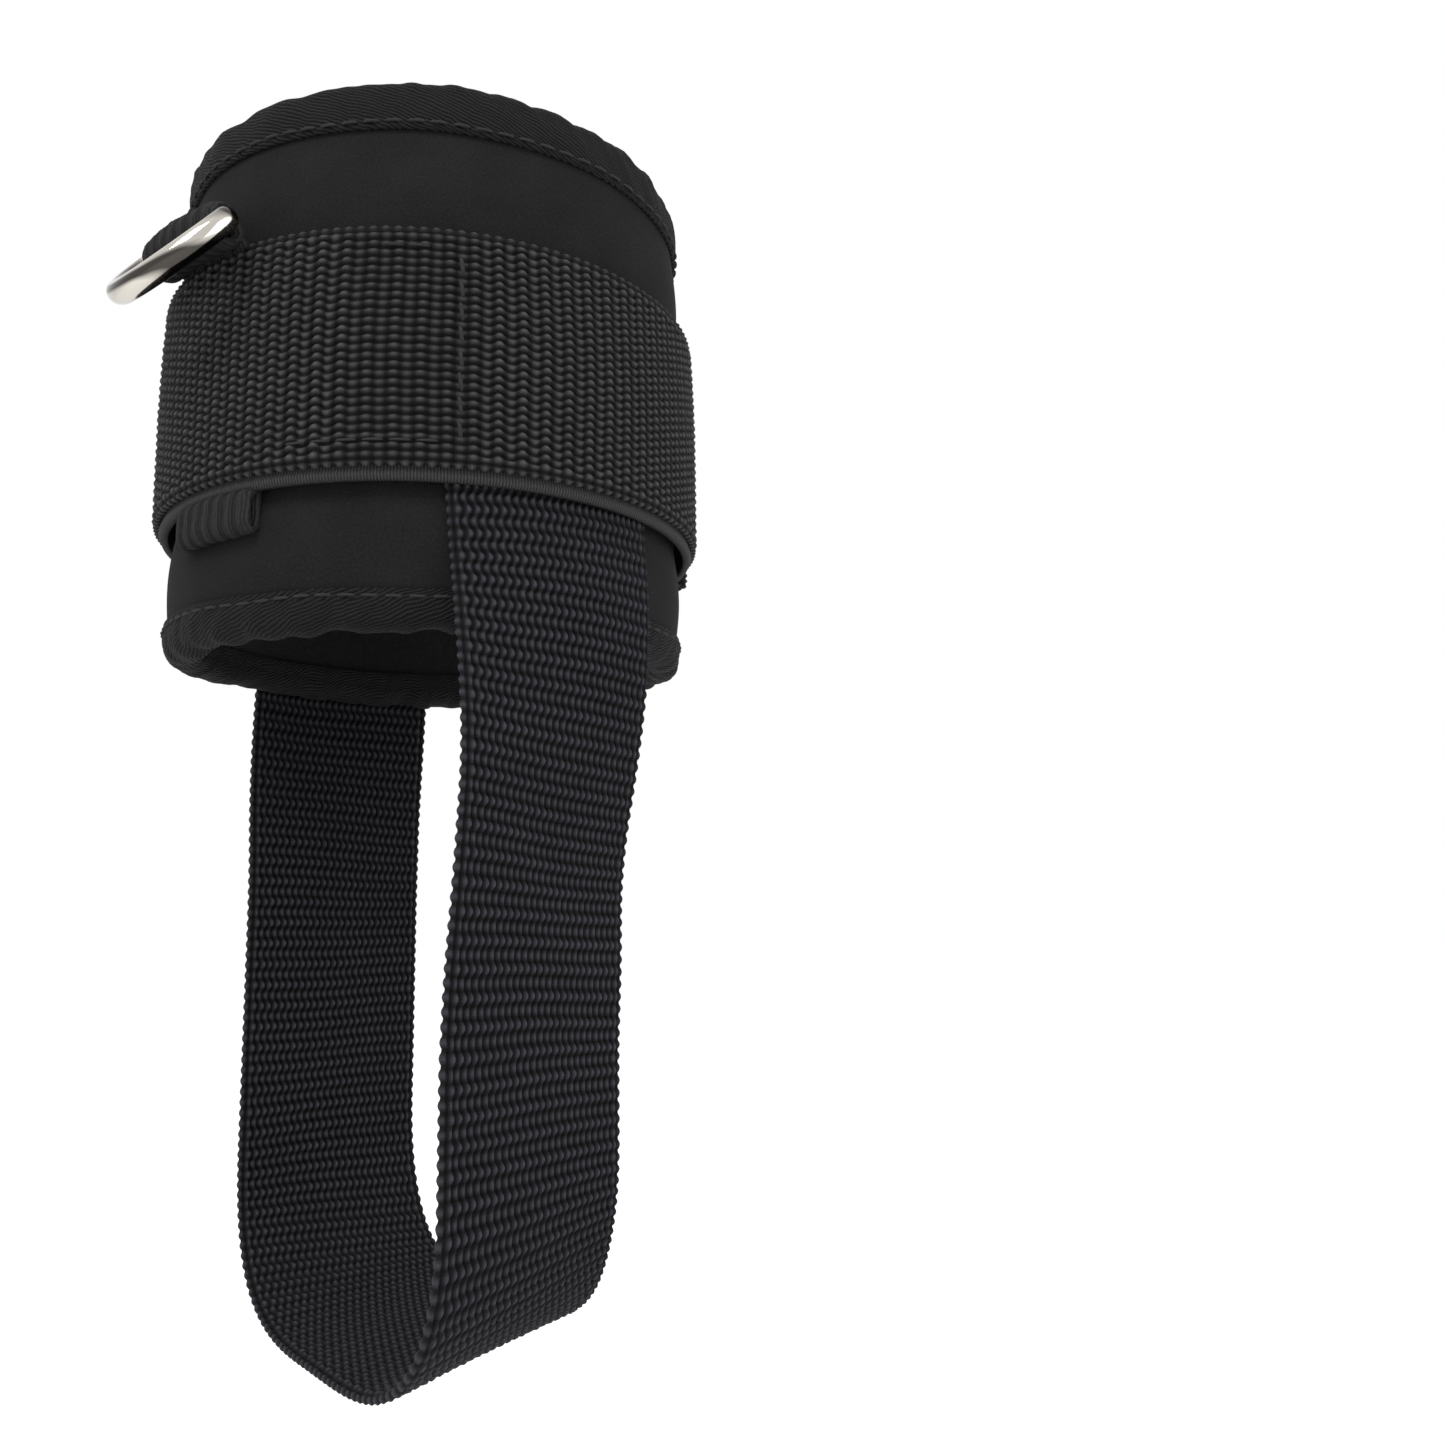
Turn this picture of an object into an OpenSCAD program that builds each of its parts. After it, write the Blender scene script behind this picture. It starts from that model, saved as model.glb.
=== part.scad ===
// Ankle cuff with a foot loop: a padded wrap round the ankle, a webbing strap
// that closes it, a D-ring for a cord, and a stirrup loop under the foot.
// Units are millimetres. The origin is the centre of the ankle opening.
// +Z points up the leg, -Y is the wearer's outer side with the box stitch.
// Angles run round +Z from the front (-Y), positive towards +X.

/* [Pad] */
// Inside radius of the closed pad
pad_inner_r = 39.5; // [36:0.5:50]
// Outside radius of the closed pad
pad_outer_r = 45.2; // [42:0.1:56]
// Height of the pad
pad_height = 93; // [80:1:110]
// Thickness of the lining, cover and binding cloth
cloth_t = 0.6; // [0.4:0.1:1.2]
// Width of the binding seen on each face
binding_width = 8; // [5:0.5:12]
// Where the two ends of the pad meet
gap_angle = 135; // [100:1:160]
// Half of the opening between the pad's ends, in degrees
gap_half = 4; // [2:0.5:8]

/* [Strap] */
// Width of the strap and foot loop webbing
webbing_width = 38; // [25:1:50]
// Thickness of the strap webbing
webbing_t = 1.6; // [1.2:0.1:2.5]
// Height of the strap's lower edge
strap_bottom = -19; // [-30:1:0]
// Angle of the strap's sewn start
strap_start = 165; // [150:1:170]
// Angle where the strap begins to rise over its own start
ramp_start = -170; // [-175:1:-160]
// Angle where the rise ends, at the tab's fold
ramp_end = -192; // [-194:1:-186]
// How far the tape behind the strap shows below it
backing_show = 2.8; // [1:0.1:5]
// Thickness of the tape behind the strap
backing_t = 1.1; // [0.6:0.1:1.6]
// Angle of the strap's free end
tab_end = 108; // [95:1:125]
// Angle of the line the tab folds on
tab_fold = 166.5; // [160:0.5:168]

/* [Ring] */
// Inside width of the D-ring
ring_inner = 20; // [15:1:40]
// Thickness of the ring's wire
ring_wire = 4; // [3:0.5:6]
// Distance from the straight bar to the end of the bow, centre to centre
ring_reach = 14.5; // [12:0.5:30]
// Place of the ring round the cuff
ring_angle = -52; // [-70:0.5:-30]
// Distance of the ring's bar from the cuff's axis
ring_bar_r = 52; // [51:0.5:55]
// Height of the ring's bar
ring_bar_z = 22; // [21.5:0.5:29]
// How far the resting ring hangs below level, in degrees
ring_droop = 51; // [0:1:80]

/* [Foot loop] */
// Place of the loop's front leg round the cuff
leg_angle = 24; // [10:1:40]
// Thickness of the foot loop webbing
leg_t = 1.7; // [1.2:0.1:2.5]
// Height of the lowest point of the loop
loop_bottom = -159; // [-220:1:-145]
// Height where the straight legs start to curve under the foot
loop_bend = -124; // [-140:1:-100]
// Height of the line the loop swings on
swing_z = -66; // [-75:1:-64]

/* [Hidden] */
$fa = 4;
$fs = 0.4;
half_pad = pad_height / 2;
pad_t = pad_outer_r - pad_inner_r;
pad_mid_r = (pad_inner_r + pad_outer_r) / 2;
pad_from = gap_angle + gap_half;
pad_to = gap_angle - gap_half + 360;
leg_outer_r = pad_outer_r + leg_t;
strap_inner_r = leg_outer_r + backing_t;
strap_outer_r = strap_inner_r + webbing_t;
strap_top = strap_bottom + webbing_width;
tab_inner_r = strap_inner_r + 3.2;
tab_outer_r = tab_inner_r + webbing_t;
end_arc = binding_width / pad_outer_r * 180 / PI;
cap_arc = cloth_t / pad_outer_r * 180 / PI;
leg_mid_r = pad_outer_r + leg_t / 2;
leg_arc = webbing_width / leg_mid_r * 180 / PI / 2;

// A curved strip between two radii, two heights and two angles
module strip(r0, r1, z0, z1, a0, a1)
    rotate([0, 0, a0 - 90])
        rotate_extrude(angle = a1 - a0)
            translate([r0, z0]) square([r1 - r0, z1 - z0]);

// Points of a half circle over the pad's top edge
function edge_arc(r, n = 12) =
    [for (i = [0:n]) let (t = 180 * i / n)
        [pad_mid_r - r * cos(t), half_pad - pad_t / 2 + r * sin(t)]];

// Points of the same half circle under the bottom edge, right to left
function low_arc(r, n = 12) =
    [for (i = [0:n]) let (t = 180 * i / n)
        [pad_mid_r + r * cos(t), -(half_pad - pad_t / 2) - r * sin(t)]];

// Reversed list
function back(v) = [for (i = [len(v) - 1:-1:0]) v[i]];

// Turn a profile of radius and height round the pad
module round_pad(points, a0 = pad_from, a1 = pad_to)
    rotate([0, 0, a0 - 90]) rotate_extrude(angle = a1 - a0) polygon(points);

module lining() color("dimgray")
    strip(pad_inner_r, pad_inner_r + cloth_t,
          -half_pad + binding_width, half_pad - binding_width,
          pad_from + end_arc, pad_to - end_arc);

module foam_core() color("gray")
    round_pad(concat(edge_arc(pad_t / 2 - cloth_t), low_arc(pad_t / 2 - cloth_t)),
              pad_from + cap_arc, pad_to - cap_arc);

module outer_cover() color([0.12, 0.12, 0.13])
    strip(pad_outer_r - cloth_t, pad_outer_r,
          -half_pad + binding_width, half_pad - binding_width,
          pad_from + end_arc, pad_to - end_arc);

// Folded cloth over the top edge: out, over and in again
function binding_profile() = concat(
    [[pad_inner_r, half_pad - binding_width]], edge_arc(pad_t / 2),
    [[pad_outer_r, half_pad - binding_width], [pad_outer_r - cloth_t, half_pad - binding_width]],
    back(edge_arc(pad_t / 2 - cloth_t)),
    [[pad_inner_r + cloth_t, half_pad - binding_width]]);

module top_binding() color([0.10, 0.10, 0.12]) round_pad(binding_profile());

module bottom_binding() color([0.10, 0.10, 0.12])
    round_pad([for (p = back(binding_profile())) [p[0], -p[1]]]);

// One upright binding, folded round an end of the pad
module end_binding(a0, a1, cap0, cap1) {
    z1 = half_pad - binding_width;
    strip(pad_outer_r - cloth_t, pad_outer_r, -z1, z1, a0, a1);
    strip(pad_inner_r, pad_inner_r + cloth_t, -z1, z1, a0, a1);
    strip(pad_inner_r, pad_outer_r, -z1, z1, cap0, cap1);
}

module end_bindings() color([0.10, 0.10, 0.12]) {
    end_binding(pad_from, pad_from + end_arc, pad_from, pad_from + cap_arc);
    end_binding(pad_to - end_arc, pad_to, pad_to - cap_arc, pad_to);
}

// The strap rises along this piece until it clears its own start. It is a
// little thinner than the strap, so it enters the strap's end cleanly.
ramp_steps = 8;
ramp_skin = 0.05;
ramp_lap = 0.6;
function ramp_r(i) = strap_inner_r + (tab_inner_r - strap_inner_r) * (0.5 - 0.5 * cos(180 * i / ramp_steps));
function ramp_a(i) = ramp_start + (ramp_end - ramp_start) * i / ramp_steps + (i == 0 ? ramp_lap : 0) - 90;
function ramp_point(i, t) = (ramp_r(i) + t) * [cos(ramp_a(i)), sin(ramp_a(i))];

module wrap_strap() color([0.16, 0.16, 0.17]) {
    strip(strap_inner_r, strap_outer_r, strap_bottom, strap_top, ramp_start, strap_start);
    translate([0, 0, strap_bottom + ramp_skin]) linear_extrude(webbing_width - 2 * ramp_skin)
        polygon(concat([for (i = [0:ramp_steps]) ramp_point(i, ramp_skin)],
                       [for (i = [ramp_steps:-1:0]) ramp_point(i, webbing_t - ramp_skin)]));
}

module backing_tape() color([0.18, 0.18, 0.19])
    strip(leg_outer_r, strap_inner_r, strap_bottom - backing_show, strap_top - 2, ramp_start, strap_start);

module loop_tape() color([0.08, 0.08, 0.08])
    strip(strap_outer_r, strap_outer_r + 0.6, strap_bottom + 2, strap_top - 2, tab_end - 4, strap_start - 2);

module strap_tab() color([0.16, 0.16, 0.17]) {
    strip(tab_inner_r, tab_outer_r, strap_bottom, strap_top, tab_end, tab_fold);
    rotate([0, 0, tab_fold - 90])
        translate([(tab_inner_r + tab_outer_r) / 2, 0, strap_bottom + ramp_skin])
            cylinder(r = webbing_t / 2 - ramp_skin, h = webbing_width - 2 * ramp_skin);
}

module hook_tape() color([0.06, 0.06, 0.06])
    strip(tab_inner_r - 0.7, tab_inner_r, strap_bottom + 2, strap_top - 2, tab_end + 4, tab_fold - 6);

module tab_hem() color([0.16, 0.16, 0.17])
    strip(tab_outer_r, tab_outer_r + 1.4, strap_bottom, strap_top, tab_end, tab_end + 7);

// Move from the cuff's axis out to the ring's bar, bar along Y
module at_ring_bar()
    rotate([0, 0, ring_angle - 90]) translate([ring_bar_r, 0, ring_bar_z]) children();

keeper_width = ring_inner - 0.8;
keeper_arc = keeper_width / pad_outer_r * 180 / PI / 2;
keeper_hole_r = ring_wire / 2 + 0.08;
keeper_top_r = ring_bar_r - keeper_hole_r - 1.5;

module ring_keeper() color([0.14, 0.14, 0.15]) {
    difference() {
        union() {
            at_ring_bar() rotate([90, 0, 0])
                cylinder(r = keeper_hole_r + 1.5, h = keeper_width, center = true);
            rotate([0, 0, ring_angle - keeper_arc - 90]) rotate_extrude(angle = 2 * keeper_arc)
                polygon([[pad_outer_r, strap_top - 2], [leg_outer_r, strap_top - 2],
                         [strap_inner_r, strap_top + 0.05], [keeper_top_r + 1.6, strap_top + 1.5],
                         [keeper_top_r + 1.6, ring_bar_z], [keeper_top_r + 0.1, ring_bar_z + 0.5]]);
        }
        at_ring_bar() rotate([90, 0, 0])
            cylinder(r = keeper_hole_r, h = keeper_width + 6, center = true);
    }
    strip(pad_outer_r, leg_outer_r, strap_bottom - backing_show - 0.2, strap_top - 2,
          ring_angle - keeper_arc, ring_angle + keeper_arc);
    strip(pad_outer_r, strap_inner_r, strap_bottom - backing_show - 6.5, strap_bottom - backing_show - 0.2,
          ring_angle - keeper_arc, ring_angle + keeper_arc);
}

// Wire D: straight bar, two short sides and a half-round bow
module d_ring() color("silver")
    at_ring_bar() rotate([0, ring_droop, 0]) {
        w = (ring_inner + ring_wire) / 2;
        side = ring_reach - w;
        rotate([90, 0, 0]) cylinder(r = ring_wire / 2, h = 2 * w, center = true);
        for (s = [-1, 1]) translate([0, s * w, 0]) {
            sphere(r = ring_wire / 2);
            rotate([0, 90, 0]) cylinder(r = ring_wire / 2, h = side);
        }
        translate([side, 0, 0]) rotate([0, 0, -90])
            rotate_extrude(angle = 180) translate([w, 0]) circle(r = ring_wire / 2);
    }

// Sewn end of the foot loop, flat against the pad under the strap. Its lower
// edge is hollowed to clear the round top of the swinging loop.
module leg_end(a)
    difference() {
        strip(pad_outer_r, leg_outer_r, swing_z + 3, strap_top - 6, a - leg_arc, a + leg_arc);
        translate([0, 0, swing_z]) rotate([0, 0, a - 90]) rotate([0, 90, 0])
            cylinder(r = webbing_width / 2 + 0.5, h = leg_outer_r + 5);
    }

module front_leg_end() color([0.16, 0.16, 0.17]) leg_end(leg_angle);

module back_leg_end() color([0.16, 0.16, 0.17]) leg_end(leg_angle + 180);

// Foot loop: a flat ribbon down the front leg, under the foot and up the back leg.
// Each station is its place along the span, its drift sideways, its height,
// the heading of its width and half its width.
top_n = 7;
leg_n = 9;
bend_n = 22;
front_twist = 17;
back_twist = 10;
front_drift = -3;
back_drift = -1;
function ease(t) = t * t * (3 - 2 * t);
function leg_station(side, z, half, twist, drift) =
    let (t = ease(min(1, max(0, (swing_z + 17 - z) / 50))))
    [side * leg_mid_r, drift * t, z, leg_angle + twist * t, half];
function leg_stations(side, twist, drift) = concat(
    [for (i = [0:top_n - 1]) let (t = 82 - 82 * i / top_n)
        leg_station(side, swing_z + webbing_width / 2 * sin(t), webbing_width / 2 * cos(t), twist, drift)],
    [for (i = [0:leg_n]) leg_station(side, swing_z + (loop_bend - swing_z) * i / leg_n, webbing_width / 2, twist, drift)]);
function signed_pow(x, p) = (x < 0 ? -1 : 1) * pow(abs(x), p);
function bend_station(i) =
    let (t = 180 * i / bend_n, k = ease(i / bend_n))
    [leg_mid_r * signed_pow(cos(t), 0.65), front_drift + (back_drift - front_drift) * k, loop_bend + (loop_bottom + leg_t / 2 - loop_bend) * pow(sin(t), 0.85),
     leg_angle + front_twist + (back_twist - front_twist) * k, webbing_width / 2];
stations = concat(leg_stations(1, front_twist, front_drift),
                  [for (i = [1:bend_n - 1]) bend_station(i)],
                  back(leg_stations(-1, back_twist, back_drift)));
function centre(s) =
    let (n = [sin(leg_angle), -cos(leg_angle)], w = [cos(leg_angle), sin(leg_angle)])
    [s[0] * n[0] + s[1] * w[0], s[0] * n[1] + s[1] * w[1], s[2]];
function unit(v) = v / norm(v);
function along(i) = unit(centre(stations[min(i + 1, len(stations) - 1)]) - centre(stations[max(i - 1, 0)]));
function across(i) =
    let (w = [cos(stations[i][3]), sin(stations[i][3]), 0], t = along(i)) unit(w - (w * t) * t);
function ribbon_point(i, sw, st) =
    let (w = across(i), n = cross(w, along(i)))
    centre(stations[i]) + w * stations[i][4] * sw + n * leg_t / 2 * st;

module foot_loop() color([0.16, 0.16, 0.17]) {
    n = len(stations);
    points = [for (i = [0:n - 1]) each [ribbon_point(i, -1, -1), ribbon_point(i, 1, -1),
                                       ribbon_point(i, 1, 1), ribbon_point(i, -1, 1)]];
    sides = [for (i = [0:n - 2]) for (k = [0:3])
        each [[4 * i + k, 4 * i + (k + 1) % 4, 4 * i + 4 + (k + 1) % 4],
              [4 * i + k, 4 * i + 4 + (k + 1) % 4, 4 * i + 4 + k]]];
    e = 4 * (n - 1);
    polyhedron(points = points, faces = concat(sides,
        [[2, 1, 0], [3, 2, 0], [e, e + 1, e + 2], [e, e + 2, e + 3]]));
}

// A row of stitches round the cuff, each a short thread lying on the cloth
module ring_stitches(r, z, a0, a1, pitch, length, w = 0.6, t = 0.35) {
    da = pitch / r * 180 / PI;
    la = length / r * 180 / PI;
    for (i = [0:floor((a1 - a0 - la) / da)])
        strip(r, r + t, z - w / 2, z + w / 2, a0 + i * da, a0 + i * da + la);
}

// A row of stitches up the cuff
module upright_stitches(r, a, z0, z1, pitch, length, w = 0.6, t = 0.35)
    for (i = [0:floor((z1 - z0 - length) / pitch)])
        strip(r, r + t, z0 + i * pitch, z0 + i * pitch + length,
              a - w / r * 90 / PI, a + w / r * 90 / PI);

module strap_box_stitch() color([0.3, 0.3, 0.3]) {
    upright_stitches(strap_outer_r, 3, strap_bottom + 3.5, strap_top - 3.5, 3, 2.4);
    ring_stitches(strap_outer_r, strap_bottom + 3, -29, 1.5, 3, 2.4);
    ring_stitches(strap_outer_r, strap_top - 2.6, -12, 1.5, 3, 2.4);
}

module top_binding_stitch() color([0.2, 0.2, 0.2])
    ring_stitches(pad_outer_r, half_pad - binding_width + 1.2, pad_from + 2, pad_to - 2, 3.6, 2.2, 0.5, 0.3);

module bottom_binding_stitch() color([0.2, 0.2, 0.2]) {
    z = -half_pad + binding_width - 1.2;
    skip = leg_arc + 1;
    ring_stitches(pad_outer_r, z, pad_from + 2, leg_angle + 180 - skip, 3.6, 2.2, 0.5, 0.3);
    ring_stitches(pad_outer_r, z, leg_angle + 180 + skip, leg_angle + 360 - skip, 3.6, 2.2, 0.5, 0.3);
    ring_stitches(pad_outer_r, z, leg_angle + 360 + skip, pad_to - 2, 3.6, 2.2, 0.5, 0.3);
}

module tab_stitch() color([0.3, 0.3, 0.3])
    upright_stitches(tab_outer_r + 1.4, tab_end + 5.5, strap_bottom + 2.5, strap_top - 2, 3, 2.4);

lining();
foam_core();
outer_cover();
top_binding();
bottom_binding();
end_bindings();
wrap_strap();
backing_tape();
loop_tape();
strap_tab();
hook_tape();
tab_hem();
ring_keeper();
d_ring();
front_leg_end();
back_leg_end();
foot_loop();
strap_box_stitch();
top_binding_stitch();
bottom_binding_stitch();
tab_stitch();
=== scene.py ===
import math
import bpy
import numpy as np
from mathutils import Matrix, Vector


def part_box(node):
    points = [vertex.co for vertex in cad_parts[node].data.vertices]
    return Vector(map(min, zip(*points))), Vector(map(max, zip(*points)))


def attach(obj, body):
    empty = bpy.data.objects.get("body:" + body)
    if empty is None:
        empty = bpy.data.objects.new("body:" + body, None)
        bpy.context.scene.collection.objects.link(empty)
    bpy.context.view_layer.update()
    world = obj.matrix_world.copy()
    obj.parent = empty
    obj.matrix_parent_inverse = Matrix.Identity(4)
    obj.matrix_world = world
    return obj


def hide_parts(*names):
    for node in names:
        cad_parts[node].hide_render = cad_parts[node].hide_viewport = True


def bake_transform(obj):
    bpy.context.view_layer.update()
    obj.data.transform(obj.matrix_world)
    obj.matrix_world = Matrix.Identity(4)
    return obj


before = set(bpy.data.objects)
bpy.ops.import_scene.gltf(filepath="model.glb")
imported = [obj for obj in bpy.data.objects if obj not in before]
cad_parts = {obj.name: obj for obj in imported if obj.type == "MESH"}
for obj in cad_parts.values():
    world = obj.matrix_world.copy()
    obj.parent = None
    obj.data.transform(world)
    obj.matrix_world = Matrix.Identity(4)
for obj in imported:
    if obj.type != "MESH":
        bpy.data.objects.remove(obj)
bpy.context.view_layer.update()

# %% [markdown]
# An ankle cuff: a padded wrap with bound edges, a wide woven strap that closes it, a ring for
# a cord and a stirrup loop of the same webbing. The solid model gives every size and place;
# this lesson makes the cloth, webbing, thread and metal around it. Work is in millimetres,
# and every mesh is scaled to metres when it is made.

MM = 0.001


def low_high(node, axis):
    """Lowest and highest value of a node's box along an axis, in mm."""
    low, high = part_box(node)
    return low[axis] / MM, high[axis] / MM


STRAP_LOW, STRAP_TOP = low_high("wrap_strap", 2)
TAPE_LOW = low_high("backing_tape", 2)[0]
PAD_HALF = low_high("top_binding", 2)[1]
SEAM = low_high("top_binding", 2)[0]
LOOP_LOW = low_high("foot_loop", 2)[0]
PAD_OUT = low_high("foam_core", 0)[1] + 0.6
PAD_IN = PAD_OUT - 5.7
LEG_OUT = PAD_OUT + 1.7
STRAP_IN = LEG_OUT + 1.1
WEB_WIDE = STRAP_TOP - STRAP_LOW
WEB_THICK = 1.6
print("strap", STRAP_LOW, STRAP_TOP, "pad radius", PAD_IN, PAD_OUT, "loop low", LOOP_LOW)

# %% [markdown]
# Cloth is never perfectly even. Small waves from a few sines with seeded directions give the
# same gentle unevenness on each run, and they cost nothing.

# %% Helpers for shape


def ease(x, a, b):
    """0 before a, 1 after b and a soft step between."""
    t = np.clip((np.asarray(x, float) - a) / (b - a), 0, 1)
    return t * t * (3 - 2 * t)


def hump(x, a, b):
    """A soft rise between a and b, 1 in the middle."""
    t = np.clip((np.asarray(x, float) - a) / (b - a), 0, 1)
    return np.sin(np.pi * t) ** 1.3


def ripple(x, y, size, seed, waves=6):
    """Gentle unevenness over a plane, about -1 to 1, with waves about size mm long."""
    rng = np.random.default_rng(seed)
    total = 0
    for _ in range(waves):
        way = rng.uniform(0, 2 * np.pi)
        k = 2 * np.pi / (size * rng.uniform(0.7, 1.5))
        total = total + np.sin(k * (x * np.cos(way) + y * np.sin(way)) + rng.uniform(0, 6.3))
    return total / waves * 1.6


def polar(radius, angle, z):
    """Points from a radius, an angle in degrees round from the front, and a height."""
    a = np.radians(angle)
    r, a, z = np.broadcast_arrays(np.asarray(radius, float), a, np.asarray(z, float))
    return np.stack([r * np.sin(a), -r * np.cos(a), z], -1)


def turned(angle):
    """The same angle between -180 and 180."""
    return (np.asarray(angle, float) + 180) % 360 - 180


def run_along(points):
    """Length of a line up to each of its points."""
    return np.concatenate([[0], np.cumsum(np.linalg.norm(np.diff(points, axis=0), axis=1))])


def unit(ways):
    """Directions with length 1."""
    return ways / np.linalg.norm(ways, axis=-1, keepdims=True)


def at_lengths(new, run, points):
    """Points of a line at new lengths along it."""
    return np.stack([np.interp(new, run, points[:, k]) for k in range(points.shape[1])], 1)


def soften(line, times):
    """Rounds a line's corners by moving each point towards its neighbours."""
    for _ in range(times):
        line[1:-1] = (line[:-2] + 2 * line[1:-1] + line[2:]) / 4
    return line


print("shape helpers ready")


# %% [markdown]
# Almost every soft piece here is a loft: the same closed outline repeated along a path, with
# the rings joined by quads. Building the arrays with numpy and handing them over in one go is
# far quicker than adding faces one by one, and lets one function make strap, pad and thread.

# %% Lofted meshes


def loft_faces(rings, columns, closed=False):
    """Quads between neighbouring rings, as a flat list of corners with one start for each face."""
    r = np.arange(rings if closed else rings - 1)[:, None]
    c = np.arange(columns)[None, :]
    r2, c2 = (r + 1) % rings, (c + 1) % columns
    quads = np.stack([r * columns + c, r * columns + c2, r2 * columns + c2, r2 * columns + c], -1)
    corners = quads.reshape(-1)
    starts = np.arange(0, len(corners), 4)
    if not closed:
        caps = [np.arange(columns)[::-1], (rings - 1) * columns + np.arange(columns)]
        for cap in caps:
            starts = np.append(starts, len(corners))
            corners = np.append(corners, cap)
    return corners, starts


def make_piece(name, points, corners, starts, values=None):
    """A mesh object from points in mm, with named values for each point."""
    mesh = bpy.data.meshes.new(name)
    mesh.vertices.add(len(points))
    mesh.vertices.foreach_set("co", (points * MM).astype(np.float32).ravel())
    mesh.loops.add(len(corners))
    mesh.loops.foreach_set("vertex_index", corners.astype(np.int32))
    mesh.polygons.add(len(starts))
    mesh.polygons.foreach_set("loop_start", starts.astype(np.int32))
    mesh.update(calc_edges=True)
    mesh.validate()
    mesh.shade_smooth()
    for key, data in (values or {}).items():
        data = np.asarray(data, np.float32)
        kind = "FLOAT" if data.ndim == 1 else "FLOAT_VECTOR"
        layer = mesh.attributes.new(key, kind, "POINT")
        layer.data.foreach_set("value" if data.ndim == 1 else "vector", data.ravel())
    piece = bpy.data.objects.new(name, mesh)
    bpy.context.scene.collection.objects.link(piece)
    return piece


def loft(name, rings, values=None, closed=False):
    """One closed skin over an array of rings, shape (rings, columns, 3)."""
    corners, starts = loft_faces(rings.shape[0], rings.shape[1], closed)
    flat = {k: np.asarray(v).reshape((-1,) + np.asarray(v).shape[2:]) for k, v in (values or {}).items()}
    return make_piece(name, rings.reshape(-1, 3), corners, starts, flat)


def finish_piece(piece, material, slot, body, *nodes):
    """Material and body for a piece, and the solid nodes it stands for; slot is not used."""
    piece.data.materials.append(material)
    if body:
        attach(piece, body)
    if nodes:
        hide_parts(*nodes)
    print(piece.name, len(piece.data.vertices), "points")
    return piece


# %% [markdown]
# A material is a graph of nodes. Writing the graph as Python sums is easier to read: one small
# class wraps a socket, and adding, taking away or multiplying makes the Math nodes. Colours and
# vectors have their own Mix and Vector Math nodes, because a Math node turns a colour grey.

# %% Shader maths


class Wire:
    """A socket in a material. Arithmetic on it adds Math nodes."""

    def __init__(self, tree, socket):
        self.tree, self.socket = tree, socket

    def node(self, kind, settings=None, inputs=None, output=0):
        """Any other node: its type, its settings, the values or links of its sockets."""
        made = self.tree.nodes.new(kind)
        for key, value in (settings or {}).items():
            setattr(made, key, value)
        for key, value in (inputs or {}).items():
            if isinstance(value, Wire):
                self.tree.links.new(value.socket, made.inputs[key])
            else:
                made.inputs[key].default_value = value
        return Wire(self.tree, made.outputs[output])

    def math(self, operation, *others):
        inputs = {0: self}
        for place, other in enumerate(others, 1):
            inputs[place] = other
        return self.node("ShaderNodeMath", {"operation": operation}, inputs)

    def __add__(self, other):
        return self.math("ADD", other)

    def __sub__(self, other):
        return self.math("SUBTRACT", other)

    def __mul__(self, other):
        return self.math("MULTIPLY", other)

    __radd__ = __add__
    __rmul__ = __mul__

    def sine(self):
        return self.math("SINE")

    def power(self, n):
        return self.math("POWER", n)

    def step(self, low, high):
        """Maps low to high onto 0 to 1, held at the ends."""
        return self.node(
            "ShaderNodeMapRange", {"clamp": True}, {0: self, 1: low, 2: high, 3: 0.0, 4: 1.0}
        )

    def blend(self, first, second):
        """A colour between two, by this value."""
        return self.node(
            "ShaderNodeMix",
            {"data_type": "RGBA", "clamp_factor": True},
            {0: self, 6: first, 7: second},
            output=2,
        )

    def split(self, axis):
        """One part of a vector: 0, 1 or 2."""
        return self.node("ShaderNodeSeparateXYZ", None, {0: self}, output=axis)

    def scaled(self, x, y, z):
        """A vector times a vector."""
        return self.node(
            "ShaderNodeVectorMath", {"operation": "MULTIPLY"}, {0: self, 1: (x, y, z)}
        )

    def noise(self, scale, detail=3.0, roughness=0.55):
        return self.node(
            "ShaderNodeTexNoise", None,
            {"Vector": self, "Scale": scale, "Detail": detail, "Roughness": roughness},
        )


def grey(value, blue=1.0):
    """A grey a little to the blue or the warm side."""
    return (value, value, value * blue, 1.0)


class Finish:
    """A new material with one Principled shader, and the wires its recipe starts from."""

    def __init__(self, name, roughness, **plain):
        self.material = bpy.data.materials.new(name)
        self.material.use_nodes = True
        tree = self.material.node_tree
        self.shader = tree.nodes["Principled BSDF"]
        self.shader.inputs["Roughness"].default_value = roughness
        for key, value in plain.items():
            self.shader.inputs[key.replace("_", " ")].default_value = value
        self.start = Wire(tree, None)

    def attribute(self, name, vector=False):
        """A value stored on the mesh's points."""
        return self.start.node(
            "ShaderNodeAttribute", {"attribute_name": name}, None, output=1 if vector else 2
        )

    def place(self):
        """The point's own place on the object, in metres."""
        return self.start.node("ShaderNodeTexCoord", None, None, output=3)

    def feed(self, socket, wire):
        wire.tree.links.new(wire.socket, self.shader.inputs[socket])

    def bump(self, height, distance, strength=1.0):
        """Relief in mm, through one Bump node."""
        made = height.node(
            "ShaderNodeBump", None,
            {"Height": height, "Distance": distance * MM, "Strength": strength},
        )
        self.feed("Normal", made)


# %% [markdown]
# Webbing is dull black polyester. Its crowns catch the light and its gaps are nearly black in shade,
# and both are painted into the colour: a value stored on each point is 1 on top of a yarn and 0
# between two, so the crowns get painted highlights and the gaps painted shade. Fine fibres are only
# a bump, because they are a tenth of a millimetre across.

# %% Webbing, tape and thread finishes


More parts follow.
